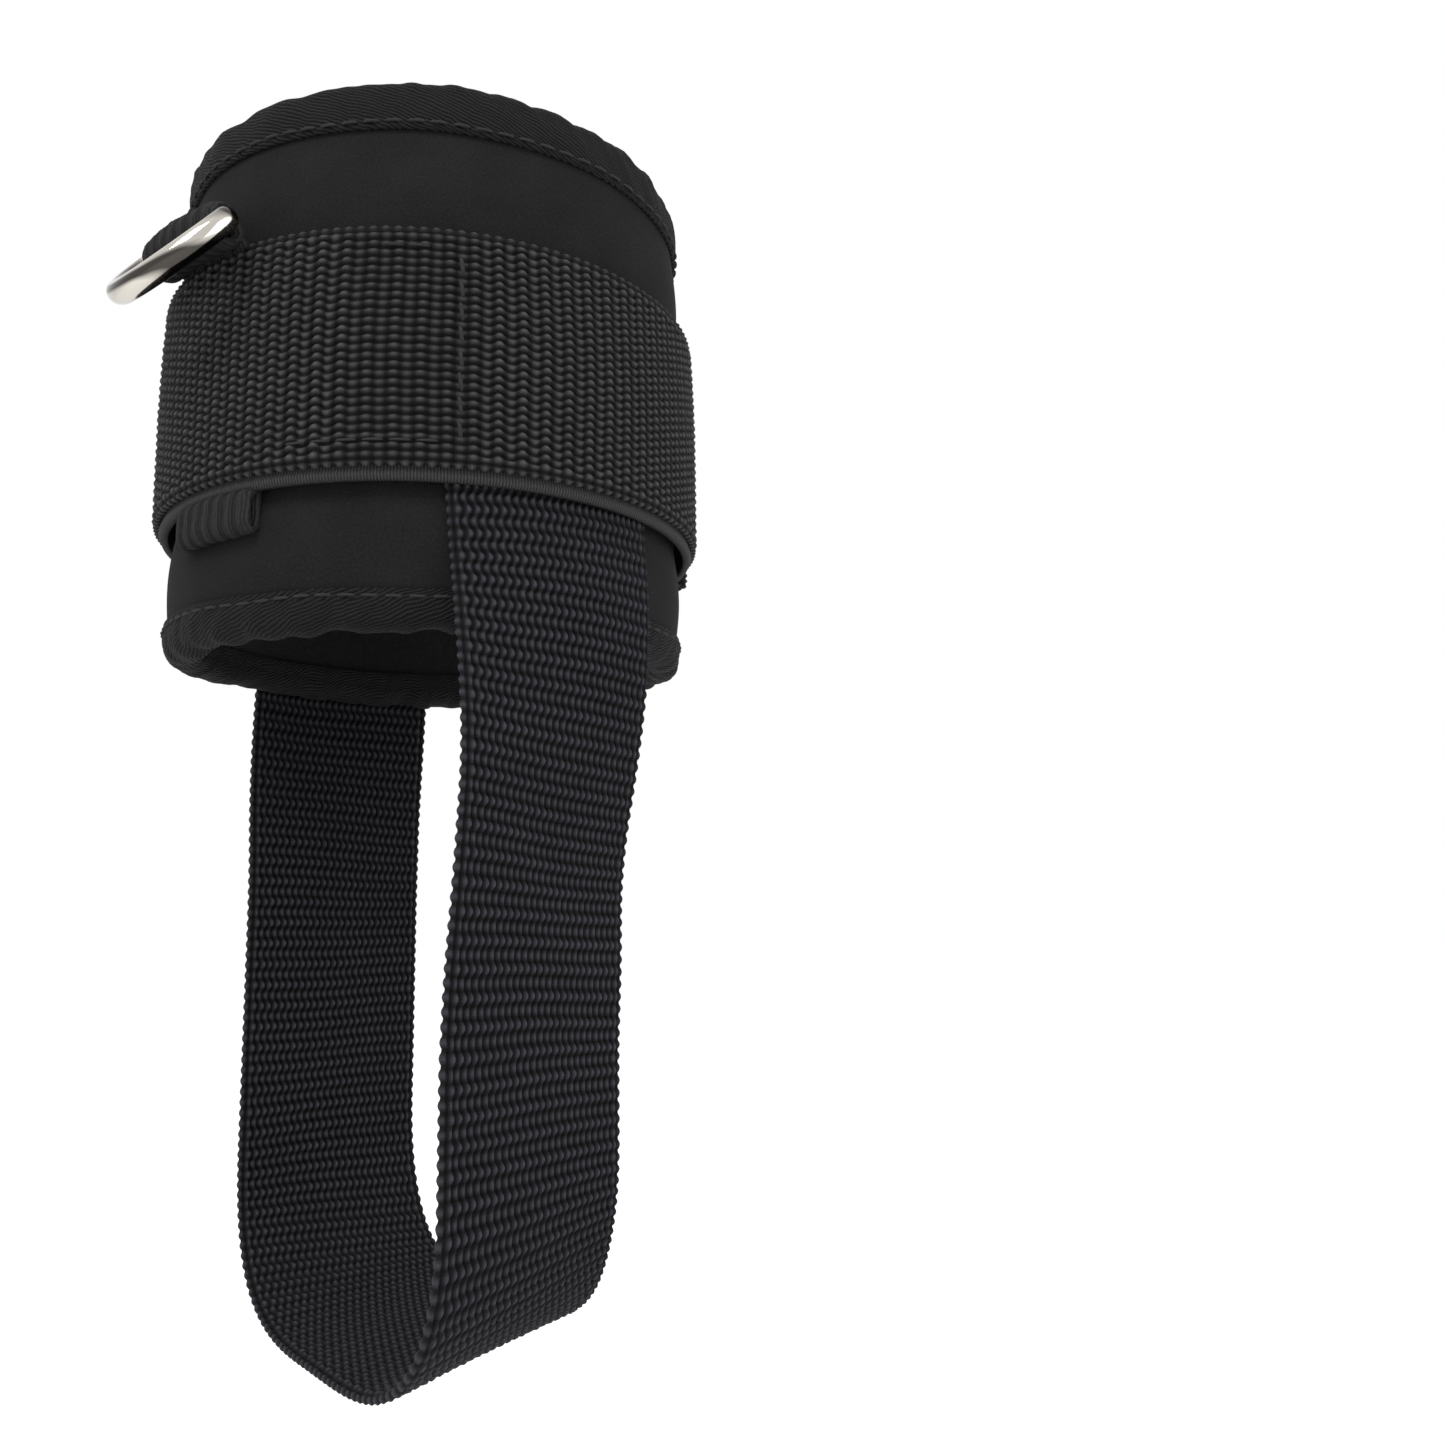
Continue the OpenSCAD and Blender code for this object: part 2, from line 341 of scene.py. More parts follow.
def yarn_finish(name, low, high, blue=1.03, twist=2.2, sheen=0.0):
    """Yarn with fine twisted fibres: colour by the stored crown value, which paints highlights on the yarn
    crowns and shade in the gaps.
    """
    f = Finish(name, 0.78, Sheen_Weight=sheen, Sheen_Roughness=0.5, Specular_IOR_Level=0.14)
    cloth = f.attribute("cloth", vector=True)
    crown_and_shade = f.attribute("crown_and_shade")
    fibres = cloth.scaled(1.0, 3.0, 1.0).noise(3.2, 3.0, 0.65)
    patches = cloth.noise(0.12, 2.0)
    # Painted light: the stored crown value lightens the yarn crowns and darkens the gaps between them.
    shade = crown_and_shade.power(1.5) * (0.5 + 0.8 * fibres) * (0.8 + 0.4 * patches)
    f.feed("Base Color", shade.blend(grey(low, blue), grey(high, blue)))
    twisted = (cloth.split(0) * (2 * math.pi * twist) + cloth.split(1) * 9.0).sine()
    f.bump(fibres * 0.7 + twisted * 0.12, 0.16, 0.9)
    return f.material


def rib_finish(name, low, high, pitch, blue=1.0):
    """Fine-ribbed tape: ribs run across its length."""
    f = Finish(name, 0.8, Specular_IOR_Level=0.12)
    cloth = f.attribute("cloth", vector=True)
    ribs = (cloth.split(0) * (2 * math.pi / pitch)).sine() * 0.5 + 0.5
    fuzz = cloth.noise(2.4, 3.0, 0.6)
    shade = ribs * 0.6 + fuzz * 0.55
    f.feed("Base Color", shade.blend(grey(low, blue), grey(high, blue)))
    f.bump(ribs * 0.6 + fuzz * 0.5, 0.18)
    return f.material


webbing_finish = yarn_finish("coarse_webbing", 0.002, 0.062)
# A darker, bluer copy of the same webbing for the stirrup: painted shade with a cool cast on the hanging
# loop.
shaded_stirrup_finish = yarn_finish("stirrup_webbing", 0.0015, 0.041, blue=1.25)
thread_finish = yarn_finish("sewing_thread", 0.002, 0.028, twist=1.2)
tape_finish = rib_finish("ribbed_tape", 0.004, 0.045, 0.5)
keeper_finish = rib_finish("keeper_webbing", 0.003, 0.024, 0.62)
print("webbing finishes made")

# %% [markdown]
# The pad's cover is a smooth fine knit, the binding a twill tape with slanting ribs, and the
# lining a brushed knit. Each is nearly the same black, so the eye tells them apart by their
# texture: no ribs, slanting ribs, and fuzz.

# %% Cover, binding, lining and foam finishes


def knit_finish(name, low, high, fuzz_scale, depth, blue=1.0, sheen=0.25):
    """A smooth fine knit: tiny stitches in columns, and a light bloom of fibres."""
    f = Finish(name, 0.86, Sheen_Weight=sheen, Sheen_Roughness=0.45, Specular_IOR_Level=0.08)
    cloth = f.attribute("cloth", vector=True)
    columns = (cloth.split(0) * (2 * math.pi / 0.42)).sine()
    rows = (cloth.split(1) * (2 * math.pi / 0.34)).sine()
    fuzz = cloth.noise(fuzz_scale, 4.0, 0.6)
    clouds = cloth.noise(0.09, 3.0)
    shade = fuzz * 1.3 + clouds * 0.7 + columns * rows * 0.12 - 0.5
    f.feed("Base Color", shade.blend(grey(low, blue), grey(high, blue)))
    f.bump(fuzz * 0.6 + columns * rows * 0.3, depth)
    return f.material


def twill_finish(name, low, high, pitch=0.62, slant=0.38):
    """Twill tape: ribs that slant across the tape, broken by the crossing yarns."""
    f = Finish(name, 0.8, Specular_IOR_Level=0.12)
    cloth = f.attribute("cloth", vector=True)
    along, over = cloth.split(0), cloth.split(1)
    drift = cloth.noise(0.2, 2.0) * 1.6
    ribs = ((over + along * slant + drift) * (2 * math.pi / pitch)).sine() * 0.5 + 0.5
    knots = ((along - over * slant) * (2 * math.pi / 0.5)).sine() * 0.5 + 0.5
    fuzz = cloth.noise(2.6, 3.0, 0.6)
    shade = ribs * (0.55 + 0.4 * knots) + fuzz * 0.5 - 0.2
    f.feed("Base Color", shade.blend(grey(low, 1.12), grey(high, 1.08)))
    f.bump(ribs * (0.6 + 0.4 * knots) + fuzz * 0.3, 0.34)
    return f.material


cover_finish = knit_finish("smooth_knit_cover", 0.004, 0.014, 2.2, 0.08, sheen=0.0)
lining_finish = knit_finish("brushed_lining", 0.004, 0.014, 1.2, 0.14, sheen=0.04)
foam_finish = knit_finish("foam", 0.01, 0.02, 0.9, 0.1, sheen=0.0)
binding_finish = twill_finish("twill_binding", 0.001, 0.018)
pile_finish = knit_finish("fastener_pile", 0.002, 0.014, 0.7, 0.5, sheen=0.04)
print("cloth finishes made")

# %% [markdown]
# The ring is polished nickel plate, a metal a little warmer than chrome. Handling leaves fine
# scratches, so its roughness varies softly and a faint bump breaks the reflections. A pale tent
# leaves polished metal with nothing dark to mirror, so dark reflections are painted into its colour
# in streaks set by the way the wire faces.

# %% Nickel


def nickel():
    f = Finish("polished_nickel", 0.14, Metallic=1.0)
    place = f.place()
    facing = f.start.node("ShaderNodeTexCoord", None, None, output=1)
    worn = place.noise(260.0, 4.0, 0.6)
    lines = place.scaled(1.0, 1.0, 9.0).noise(900.0, 2.0)
    # Painted reflections: dark and bright bands set by the way the surface faces, standing in for dark
    # surroundings mirrored in the metal.
    painted_reflection = facing.split(2) * 5.2 + facing.split(0) * 2.4 + place.noise(90.0, 2.0) * 1.6
    reflection_mask = (painted_reflection.sine() * 0.5 + 0.5).step(0.25, 0.75)
    f.feed("Base Color", reflection_mask.blend((0.06, 0.055, 0.05, 1), (0.56, 0.53, 0.48, 1)))
    f.feed("Roughness", 0.08 + 0.14 * worn.step(0.35, 0.75))
    f.bump(lines, 0.012, 0.5)
    return f.material


nickel_finish = nickel()
print("nickel made")

# %% [markdown]
# The pad is foam between two knits, about six millimetres thick. It swells between the strap
# and the bound edges, where stitches pull it in, and its lower edge flares on the ring's side.
# One function gives the outer surface, so cover, binding, stitches and webbing all agree.

# %% The pad's surface
GAP_FROM, GAP_TO = 139.0, 491.0
FLARE_ANGLE = -80.0
UNDER_BINDING = 0.8


def behind(angle):
    """0 at the front, 1 at the back."""
    return (1 - np.cos(np.radians(angle))) / 2


def seam_at(angle, side):
    """Height, up or down from the middle, of the seam where the binding starts."""
    drop = 3.0 if side < 0 else 0.0
    return SEAM - drop * behind(angle)


def edge_at(angle, side):
    """Height, up or down from the middle, of the bound edge. The bottom edge rises at the back."""
    past, rise = (0.9, 0.0) if side > 0 else (-2.0, 3.0)
    return PAD_HALF + (past - rise * behind(angle))


def pad_outside(angle, z):
    """Radius of the pad's outer face at an angle and a height."""
    side = np.exp(-((turned(np.asarray(angle) - FLARE_ANGLE)) / 44.0) ** 2)
    swell = 0.9 * hump(z, STRAP_TOP - 3, SEAM + 0.6) + 0.9 * hump(z, -SEAM - 0.6, TAPE_LOW + 2)
    flare = 1.2 * side * ease(-np.asarray(z, float), 16, PAD_HALF + 2)
    uneven = 0.22 * ripple(np.radians(turned(angle)) * PAD_OUT, z, 26, 3)
    return PAD_OUT + swell + flare + uneven * ease(np.abs(z), 12, 30)


def pad_inside(angle, z):
    """Radius of the pad's inner face."""
    uneven = 0.2 * ripple(np.radians(turned(angle)) * PAD_IN, z, 24, 5)
    return pad_outside(angle, z) - (PAD_OUT - PAD_IN) + uneven - 0.5 * hump(z, -SEAM, SEAM)


def pad_layer(name, outer, inner, limit, material, slot, node, z_steps=64, ends=0.4):
    """A closed layer of the pad between two radius functions, crowned at its edges."""
    angles = np.linspace(GAP_FROM + ends, GAP_TO - ends, 421)
    part = np.sin(np.linspace(-np.pi / 2, np.pi / 2, z_steps))
    a, part = np.meshgrid(angles, part, indexing="ij")
    zz = part * np.where(part > 0, limit(a, 1), limit(a, -1))
    outside = polar(outer(a, zz), a, zz)
    inside = polar(inner(a, zz), a, zz)[:, ::-1]
    rings = np.concatenate([outside, inside], 1)
    around = np.radians(a) * PAD_OUT
    cloth = np.stack([around, zz, np.zeros_like(zz)], -1)
    cloth = np.concatenate([cloth, cloth[:, ::-1]], 1)
    piece = loft(name, rings, {"cloth": cloth})
    return finish_piece(piece, material, slot, "cuff", node)


def under_seam(angle, side):
    """The cover and the lining run on a little under the binding."""
    return seam_at(angle, side) + UNDER_BINDING


cover = pad_layer(
    "cover_cloth", pad_outside, lambda a, z: pad_outside(a, z) - 0.9,
    under_seam, cover_finish, "cover", "outer_cover",
)
lining = pad_layer(
    "lining_cloth", lambda a, z: pad_inside(a, z) + 0.9, pad_inside,
    under_seam, lining_finish, "lining", "lining",
)
foam = pad_layer(
    "foam_pad", lambda a, z: pad_outside(a, z) - 1.0 - 1.6 * ease(np.abs(z), 36, PAD_HALF),
    lambda a, z: pad_inside(a, z) + 1.0 + 1.6 * ease(np.abs(z), 36, PAD_HALF),
    lambda a, side: edge_at(a, side) - 1.5, foam_finish, "foam", "foam_core", ends=0.9,
)

# %% [markdown]
# A binding is a strip of twill folded over a raw edge and sewn through. Here its section is the
# path of the tape: up the outer face, round the edge and down the inner face, with the cloth's
# thickness behind it. Wrinkles run slanting across it, because the tape is pulled round a curve.

# %% Top and bottom bindings
BIND_THICK = 0.8


def folded_section(angle, side):
    """Points of the tape's middle at one angle: radius and height from outer border to inner."""
    around = np.radians(turned(angle)) * PAD_OUT
    seam = float(seam_at(angle, side))
    edge = float(edge_at(angle, side) + 0.45 * ripple(around, side * 40.0, 9.5, 11))
    edge = edge + 0.3 * math.sin(math.radians(angle) * 3 + side)
    out = float(pad_outside(angle, side * (edge - 4))) - 0.2
    inn = float(pad_inside(angle, side * (edge - 4))) + 0.4
    mid, half = (out + inn) / 2, (out - inn) / 2
    rise = np.linspace(seam, edge - half, 9)[:-1]
    near = ease(rise, seam + 1, edge - half)
    puff = np.sin(np.pi * ease(rise, seam - 1, edge + 2))
    outer = (1 - near) * (pad_outside(angle, side * rise) + 0.2) + near * out + 0.5 * puff
    inner = (1 - near) * (pad_inside(angle, side * rise) - 0.2) + near * inn - 0.25 * puff
    t = np.linspace(0, np.pi, 13)
    over_r = mid + (half + 0.35) * np.cos(t)
    over_z = edge - half + half * np.sin(t)
    radius = np.concatenate([outer, over_r, inner[::-1]])
    height = np.concatenate([rise, over_z, rise[::-1]])
    return np.column_stack([radius, height])


def binding(name, side, node, stations=520):
    """A folded tape along the whole top (side 1) or bottom (side -1) edge of the pad."""
    angles = np.linspace(GAP_FROM, GAP_TO, stations)
    sections = np.array([folded_section(a, side) for a in angles])
    columns = sections.shape[1]
    step = np.diff(sections, axis=1, prepend=sections[:, :1] - (sections[:, 1:2] - sections[:, :1]))
    run = np.cumsum(np.hypot(step[..., 0], step[..., 1]), 1)
    gradient = np.gradient(sections, axis=1)
    normal = unit(np.stack([gradient[..., 1], -gradient[..., 0]], -1))
    along = np.radians(angles)[:, None] * PAD_OUT + 0 * run
    wrinkle = 0.16 * ripple(along + 0.8 * run, run * 0.35, 4.2, 21) + 0.3 * ripple(along, run, 13, 22)
    edge = np.sin(np.pi * np.linspace(0, 1, columns)) ** 0.5
    outer = sections + normal * (BIND_THICK / 2 + wrinkle * edge)[..., None]
    inner = sections + normal * (-BIND_THICK / 2 + wrinkle * edge)[..., None]
    both = np.concatenate([outer, inner[:, ::-1]], 1)
    a = np.repeat(angles[:, None], 2 * columns, 1)
    rings = polar(both[..., 0], a, side * both[..., 1])
    if side < 0:
        rings = rings[:, ::-1]
    cloth = np.stack([along, run, 0 * run], -1)
    cloth = np.concatenate([cloth, cloth[:, ::-1]], 1)
    if side < 0:
        cloth = cloth[:, ::-1]
    piece = loft(name, rings, {"cloth": cloth})
    return finish_piece(piece, binding_finish, "binding", "cuff", node)


binding("binding_top", 1, "top_binding")
binding("binding_bottom", -1, "bottom_binding")

# %% [markdown]
# The two upright ends of the pad meet at the back, under the strap. Each is bound the same way:
# the tape goes along the outer face, round the end and back along the inner face.

# %% End bindings


def end_binding(name, edge, way):
    """A folded tape up one end of the pad. way is 1 if the pad runs on from edge, or -1."""
    heights = np.linspace(-float(seam_at(edge, -1)) - 2, SEAM + 2, 90)
    rings = []
    for z in heights:
        out = float(pad_outside(edge, z)) + 0.3
        inn = float(pad_inside(edge, z)) - 0.3
        mid, half = (out + inn) / 2, (out - inn) / 2
        leg = np.linspace(9.5, 0.5, 8)
        turn = np.linspace(0, np.pi, 11)
        radius = np.concatenate([np.full(8, out), mid + half * np.cos(turn), np.full(8, inn)])
        away = np.concatenate([leg, 0.5 - 3.2 * np.sin(turn), leg[::-1]])
        wave = 0.15 * ripple(away * 0.8, z + 0 * away, 5, 31)
        inward = np.where(radius > mid, radius - BIND_THICK, radius + BIND_THICK)
        inward = np.concatenate([inward[:8], mid + (half - BIND_THICK) * np.cos(turn), inward[19:]])
        away_in = np.concatenate([leg, 0.5 - 2.2 * np.sin(turn), leg[::-1]])
        r = np.concatenate([radius + wave, inward[::-1]])
        g = np.concatenate([away, away_in[::-1]])
        rings.append(polar(r, edge + way * g, z))
    rings = np.array(rings)[:, ::way]
    count = rings.shape[1]
    run = np.linspace(0, 26, count)[None, :] + 0 * heights[:, None]
    cloth = np.stack([heights[:, None] + 0 * run, run, 0 * run], -1)
    piece = loft(name, rings, {"cloth": cloth})
    return finish_piece(piece, binding_finish, "binding", "cuff", "end_bindings")


end_binding("binding_end_back", GAP_FROM, 1)
end_binding("binding_end_right", GAP_TO, -1)

# %% [markdown]
# Coarse webbing is woven from thick yarns that run its whole length. They swing from side to
# side over the wefts, so the dark gaps between them are a row of brackets. This relief is real
# geometry: the mesh's columns follow each yarn, with points at the gap, the slope and the crown,
# so a few points a yarn give a crisp gap. A bump map alone would leave the outline straight.

# %% The weave
YARNS = 26
REPEAT = 4.0
SWING = 0.31
GAP_DEPTH = 0.66
YARN_PLACES = np.array([0.0, 0.17, 0.34, 0.5, 0.66, 0.83])
YARN_CROWN = np.array([0.0, 0.32, 0.86, 1.0, 0.86, 0.32])
ROW = REPEAT / 10


def weave(v, wide, phase=0.0, pressed=None):
    """Across positions, relief and painted crown light and gap shade of every column at every length v, as
    (rows, columns).
    """
    yarn = np.append(np.repeat(np.arange(YARNS), len(YARN_PLACES)), YARNS)
    place = np.append(np.tile(YARN_PLACES, YARNS), 0.0)
    crown_and_shade = np.append(np.tile(YARN_CROWN, YARNS), 0.0)[None, :]
    tight = 0.0 * v[:, None] if pressed is None else pressed[:, None]
    turn = 2 * np.pi * v[:, None] / REPEAT + phase
    turn = turn + 0.4 * ripple(v[:, None], yarn[None, :] * 1.7, 30, 41)
    from_edge = np.minimum(yarn + place, YARNS - yarn - place)[None, :]
    swing = SWING * np.minimum(1, from_edge / 1.2) * (1 - 0.7 * tight)
    across = ((yarn + place)[None, :] + swing * np.cos(turn)) * wide / YARNS - wide / 2
    row = np.abs(np.cos(turn))
    bridge = np.maximum(0, -np.cos(turn)) ** 2
    opening = 1.0 - 0.4 * bridge
    uneven = 0.06 * ripple(v[:, None], yarn[None, :] * 2.3, 3.2, 42)
    relief = (0.32 - 0.1 * tight) * (row - 0.75) + uneven - GAP_DEPTH * opening * (1 - crown_and_shade)
    # Painted light in this shade value: highlights on the yarn crowns at each row, painted shade in the
    # gaps, between rows and at the bridging rows; it is also dimmer where the weave is pressed flat.
    shade = crown_and_shade * (0.06 + 0.94 * row ** 1.3) * (1 - 0.1 * bridge) * (1 - 0.2 * tight)
    return across, relief, np.clip(shade + 0.5 * uneven, 0, 1)


def webbing(name, centre, across, outward, wide=WEB_WIDE, thick=WEB_THICK, cup=0.0, bow=None,
            pressed=None, coarse_back=False, start=0.0):
    """Webbing along a path: its middle line, the way of its width and its outward face."""
    rows = len(centre)
    v = start + run_along(centre)
    cup = np.broadcast_to(np.asarray(cup, float), rows)[:, None] + 1e-6
    u, relief, shade = weave(v, wide, 0.0, pressed)
    beat = np.abs(np.cos(2 * np.pi * v / REPEAT))[:, None]
    scallop = 0.42 * beat - 0.05
    bend = np.array([60.0, 20.0, -20.0, -60.0])
    side_u = wide / 2 + scallop + 0.42 * thick * np.cos(np.radians(bend))[None, :]
    side_h = (0.3 + 0.2 * beat) * thick * np.sin(np.radians(bend))[None, :]
    if coarse_back:
        back_u = np.linspace(wide / 2, -wide / 2, 9)[None, :] + 0 * v[:, None]
        back_h, back_shade = 0 * back_u - thick / 2, 0 * back_u + 0.5
    else:
        back_u, back_h, back_shade = weave(v, wide, np.pi, pressed)
        back_u, back_h, back_shade = back_u[:, ::-1], -thick / 2 - back_h[:, ::-1], back_shade[:, ::-1]
    uu = np.concatenate([u, side_u, back_u, -side_u], 1)
    hh = np.concatenate([relief + thick / 2, side_h, back_h, -side_h], 1)
    # Painted shade between the loops of the selvedge, lighter on each loop.
    side_shade = 0.05 + 0.8 * beat ** 2 + 0 * side_u
    crown_and_shade = np.concatenate([shade, side_shade, back_shade, side_shade], 1)
    if bow is not None:
        hh = hh + bow(uu, v[:, None])
    tilt = cup * uu
    flat_part = np.sin(tilt) / cup + hh * np.sin(tilt)
    out_part = (np.cos(tilt) - 1) / cup + hh * np.cos(tilt)
    rings = (centre[:, None] + across[:, None] * flat_part[..., None]
             + outward[:, None] * out_part[..., None])
    cloth = np.stack([v[:, None] + 0 * uu, uu, hh], -1)
    piece = loft(name, rings[:, ::-1], {"cloth": cloth[:, ::-1], "crown_and_shade": crown_and_shade[:, ::-1]})
    return piece, v[-1]


def resample(points, extra, step):
    """Even steps along a path, with its other values carried along."""
    run = run_along(points)
    new = np.linspace(0, run[-1], int(run[-1] / step) + 1)
    return at_lengths(new, run, points), [np.interp(new, run, e) for e in extra]


def across_frame(centre, heading, lean=0.0):
    """Width and outward directions at every point of a path, from the width's heading."""
    along = unit(np.gradient(centre, axis=0))
    a = np.radians(heading)
    wide = np.stack([np.cos(a), np.sin(a), lean + 0 * a], 1)
    wide = unit(wide - along * np.sum(wide * along, 1, keepdims=True))
    return wide, np.cross(along, wide)


print("yarns", YARNS, "each", round(WEB_WIDE / YARNS, 2), "mm")

# %% [markdown]
# The strap starts at the back right, runs round the front and the ring's side, then rises over
# its own start. Thread has pulled the weave flat beside the upright line of stitches in front.

# %% Wrap strap
STRAP_MID = (STRAP_LOW + STRAP_TOP) / 2
RAMP_FROM, RAMP_TO = 190.0, 168.0
TAB_RISE = 3.2
SPLIT = 176.0
BOX_LINE = 3.0


def strap_radius(angle_run):
    """Middle radius of the strap. angle_run falls from 165 at its start to -195 and beyond."""
    rise = TAB_RISE * ease(-angle_run, 360 - RAMP_FROM, 360 - RAMP_TO)
    return STRAP_IN + WEB_THICK / 2 + rise


def strap_bow(u, v):
    """The strap's face is fuller low down and leans in to the pad at its top edge."""
    top = np.clip((u + 4) / 23, 0, 1) ** 2
    return -0.7 * top + 0.15 * ripple(v, u, 60, 51)


def strap_piece(name, first, last, start):
    angles = np.arange(first, last, -np.degrees(ROW / (STRAP_IN + 0.8)))
    centre = polar(strap_radius(angles), angles, STRAP_MID)
    up = np.zeros_like(centre)
    up[:, 2] = 1.0
    out = polar(1.0, angles, 0.0)
    out[:, 2] = 0.0
    pressed = ease(angles, -22, -14) - ease(angles, 4, 9)
    return webbing(name, centre, up, out, bow=strap_bow, pressed=pressed, coarse_back=True, start=start)


strap, strap_length = strap_piece("strap_webbing", 165.0, SPLIT - 360, 0.0)
finish_piece(strap, webbing_finish, "webbing", "cuff", "wrap_strap")

# %% [markdown]
# The strap's free end folds back on itself in a hem and is held by its fastener. It is a piece
# of its own, overlapping the strap's line exactly.

# %% Strap tab
TAB_END = 108.0
HEM_LONG = 7.0
FOLD_ANGLE = 166.5


def tab_path():
    angles = np.arange(SPLIT - 360, TAB_END - 360, -0.25)
    flat_run = polar(strap_radius(angles), angles, STRAP_MID)
    radius = strap_radius(angles[-1:])[0]
    turn = np.linspace(0, np.pi, 14)[1:]
    fold_angles = TAB_END - np.degrees(0.9 * np.sin(turn) / radius)
    fold = polar(radius + 0.9 - 0.9 * np.cos(turn), fold_angles, STRAP_MID)
    hem_angles = np.arange(TAB_END, TAB_END + HEM_LONG, 0.25)[1:]
    hem = polar(radius + 1.8, hem_angles, STRAP_MID)
    return np.concatenate([flat_run, fold, hem])


tab_line, _ = resample(tab_path(), [], ROW)
tab_along = unit(np.gradient(tab_line, axis=0))
tab_up = np.zeros_like(tab_line)
tab_up[:, 2] = 1.0
tab_out = np.cross(tab_along, tab_up)
tab, tab_length = webbing(
    "tab_webbing", tab_line, tab_up, tab_out, bow=strap_bow, start=strap_length,
)
finish_piece(tab, webbing_finish, "webbing", None, "strap_tab", "tab_hem")
fold_point = polar(strap_radius(-200.0), FOLD_ANGLE, 0.0)
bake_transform(tab)
tab_flat = (WEB_WIDE * MM, (tab_length - strap_length) * MM)

# %% [markdown]
# Tapes are plain closed strips with rounded edges, and a finish that shows ribs or pile. The
# tape behind the strap shows below it as a narrow rolled lip.

# %% Tapes


def tape(name, radius, z0, z1, a0, a1, thick, material, slot, body, node, lip=0.0, pile=0.0):
    """A strip round the cuff, with a rolled lip at its lower edge or a rough pile face."""
    angles = np.linspace(a0, a1, max(60, int(abs(a1 - a0) * 2)))
    z = np.linspace(z0, z1, 44)
    a, zz = np.meshgrid(angles, z, indexing="ij")
    around = np.radians(a) * radius
    face = thick / 2 + lip * (hump(zz, z0 - 0.6, z0 + 1.7) - 0.4 * hump(zz, z0 + 1.2, z0 + 2.6))
    face = face + pile * ripple(around, zz, 1.4, 61)
    edge = 0.35 * thick * np.sqrt(np.clip(1 - (1 - np.minimum(zz - z0, z1 - zz) / 0.5).clip(0) ** 2, 0, 1))
    face = face * 0.65 + edge
    outside = polar(radius + face, a, zz)
    inside = polar(radius - thick / 2 + 0 * zz, a, zz)[:, ::-1]
    rings = np.concatenate([outside, inside], 1)
    cloth = np.stack([around, zz, 0 * zz], -1)
    cloth = np.concatenate([cloth, cloth[:, ::-1]], 1)
    if a1 < a0:
        rings, cloth = rings[:, ::-1], cloth[:, ::-1]
    piece = loft(name, rings, {"cloth": cloth})
    return finish_piece(piece, material, slot, body, *([node] if node else []))


tape("tape_behind_strap", LEG_OUT + 0.55, TAPE_LOW, STRAP_TOP - 2, -170, 165, 1.1,
     tape_finish, "tape", "cuff", "backing_tape", lip=0.5)
tape("loop_face", STRAP_IN + WEB_THICK + 0.3, STRAP_LOW + 2, STRAP_TOP - 2, 104, 163, 0.6,
     pile_finish, "fastener", "cuff", "loop_tape", pile=0.12)
tape("hook_face", STRAP_IN + TAB_RISE - 0.35, STRAP_LOW + 2, STRAP_TOP - 2, 112, 160.5, 0.7,
     pile_finish, "fastener", "tab", "hook_tape", pile=0.1)

# %% [markdown]
# The stirrup is one length of webbing. Its ends are sewn flat to the pad under the strap, at the
# front and opposite at the back. Between them it hangs: the front leg turns a little as it
# leaves the pad, and the bottom curves under the foot.

# %% Foot loop path
LEG_ANGLE = 24.0
LEG_MID = PAD_OUT + 0.85
FRONT_REACH, BACK_REACH = 45.4, 42.5
BEND_Z = -126.0
SPAN = np.array([math.sin(math.radians(LEG_ANGLE)), -math.cos(math.radians(LEG_ANGLE))])
SIDEWAYS = np.array([-SPAN[1], SPAN[0]])


def leg_points(side, twist, drift, stand, reach):
    """One leg from under the strap down to the bend: points, heading and cup."""
    z = np.linspace(STRAP_TOP - 8, BEND_Z, 160)
    turn = ease(-z, 30, 88)
    off = LEG_MID + stand * hump(z, -75, -17) + (reach - LEG_MID) * turn
    aside = drift * turn + 1.6 * (side > 0) * hump(z, -110, -15)
    spot = side * off[:, None] * SPAN + aside[:, None] * SIDEWAYS
    cup = (1 - ease(-z, 24, 72)) / LEG_MID
    heading = LEG_ANGLE + twist * turn + 4 * (side > 0) * hump(z, -98, -18)
    return np.column_stack([spot, z]), heading, cup


def stirrup_path(front_twist=17.0, back_twist=8.0, front_drift=-3.2, back_drift=-1.0):
    front, front_way, front_cup = leg_points(1, front_twist, front_drift, 1.2, FRONT_REACH)
    back, back_way, back_cup = leg_points(-1, back_twist, back_drift, 0.8, BACK_REACH)
    t = np.linspace(0, np.pi, 120)[1:-1]
    k = ease(t, 0, np.pi)
    drop = LOOP_LOW + WEB_THICK / 2 - BEND_Z
    reach = np.where(np.cos(t) > 0, FRONT_REACH, BACK_REACH)
    spot = (reach * np.sign(np.cos(t)) * np.abs(np.cos(t)) ** 0.61)[:, None] * SPAN
    spot = spot + (front_drift + (back_drift - front_drift) * k)[:, None] * SIDEWAYS
    under = np.column_stack([spot, BEND_Z + drop * np.sin(t) ** 0.85])
    way = LEG_ANGLE + front_twist + (back_twist - front_twist) * k
    points = np.concatenate([front, under, back[::-1]])
    heading = np.concatenate([front_way, way, back_way[::-1]])
    cup = np.concatenate([front_cup, 0 * t, back_cup[::-1]])
    line, (heading, cup) = resample(points, [heading, cup], ROW)
    return soften(line, 30), heading, cup


loop_line, loop_heading, loop_cup = stirrup_path()
loop_wide, loop_out = across_frame(loop_line, loop_heading, 0.11 * ease(-loop_line[:, 2], 80, 150))
stirrup, loop_length = webbing(
    "stirrup_webbing", loop_line, loop_wide, loop_out, wide=WEB_WIDE - 1.8, cup=loop_cup,
)
finish_piece(stirrup, shaded_stirrup_finish, "webbing", None, "foot_loop", "front_leg_end", "back_leg_end")
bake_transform(stirrup)
print("stirrup length", round(loop_length), "mm")

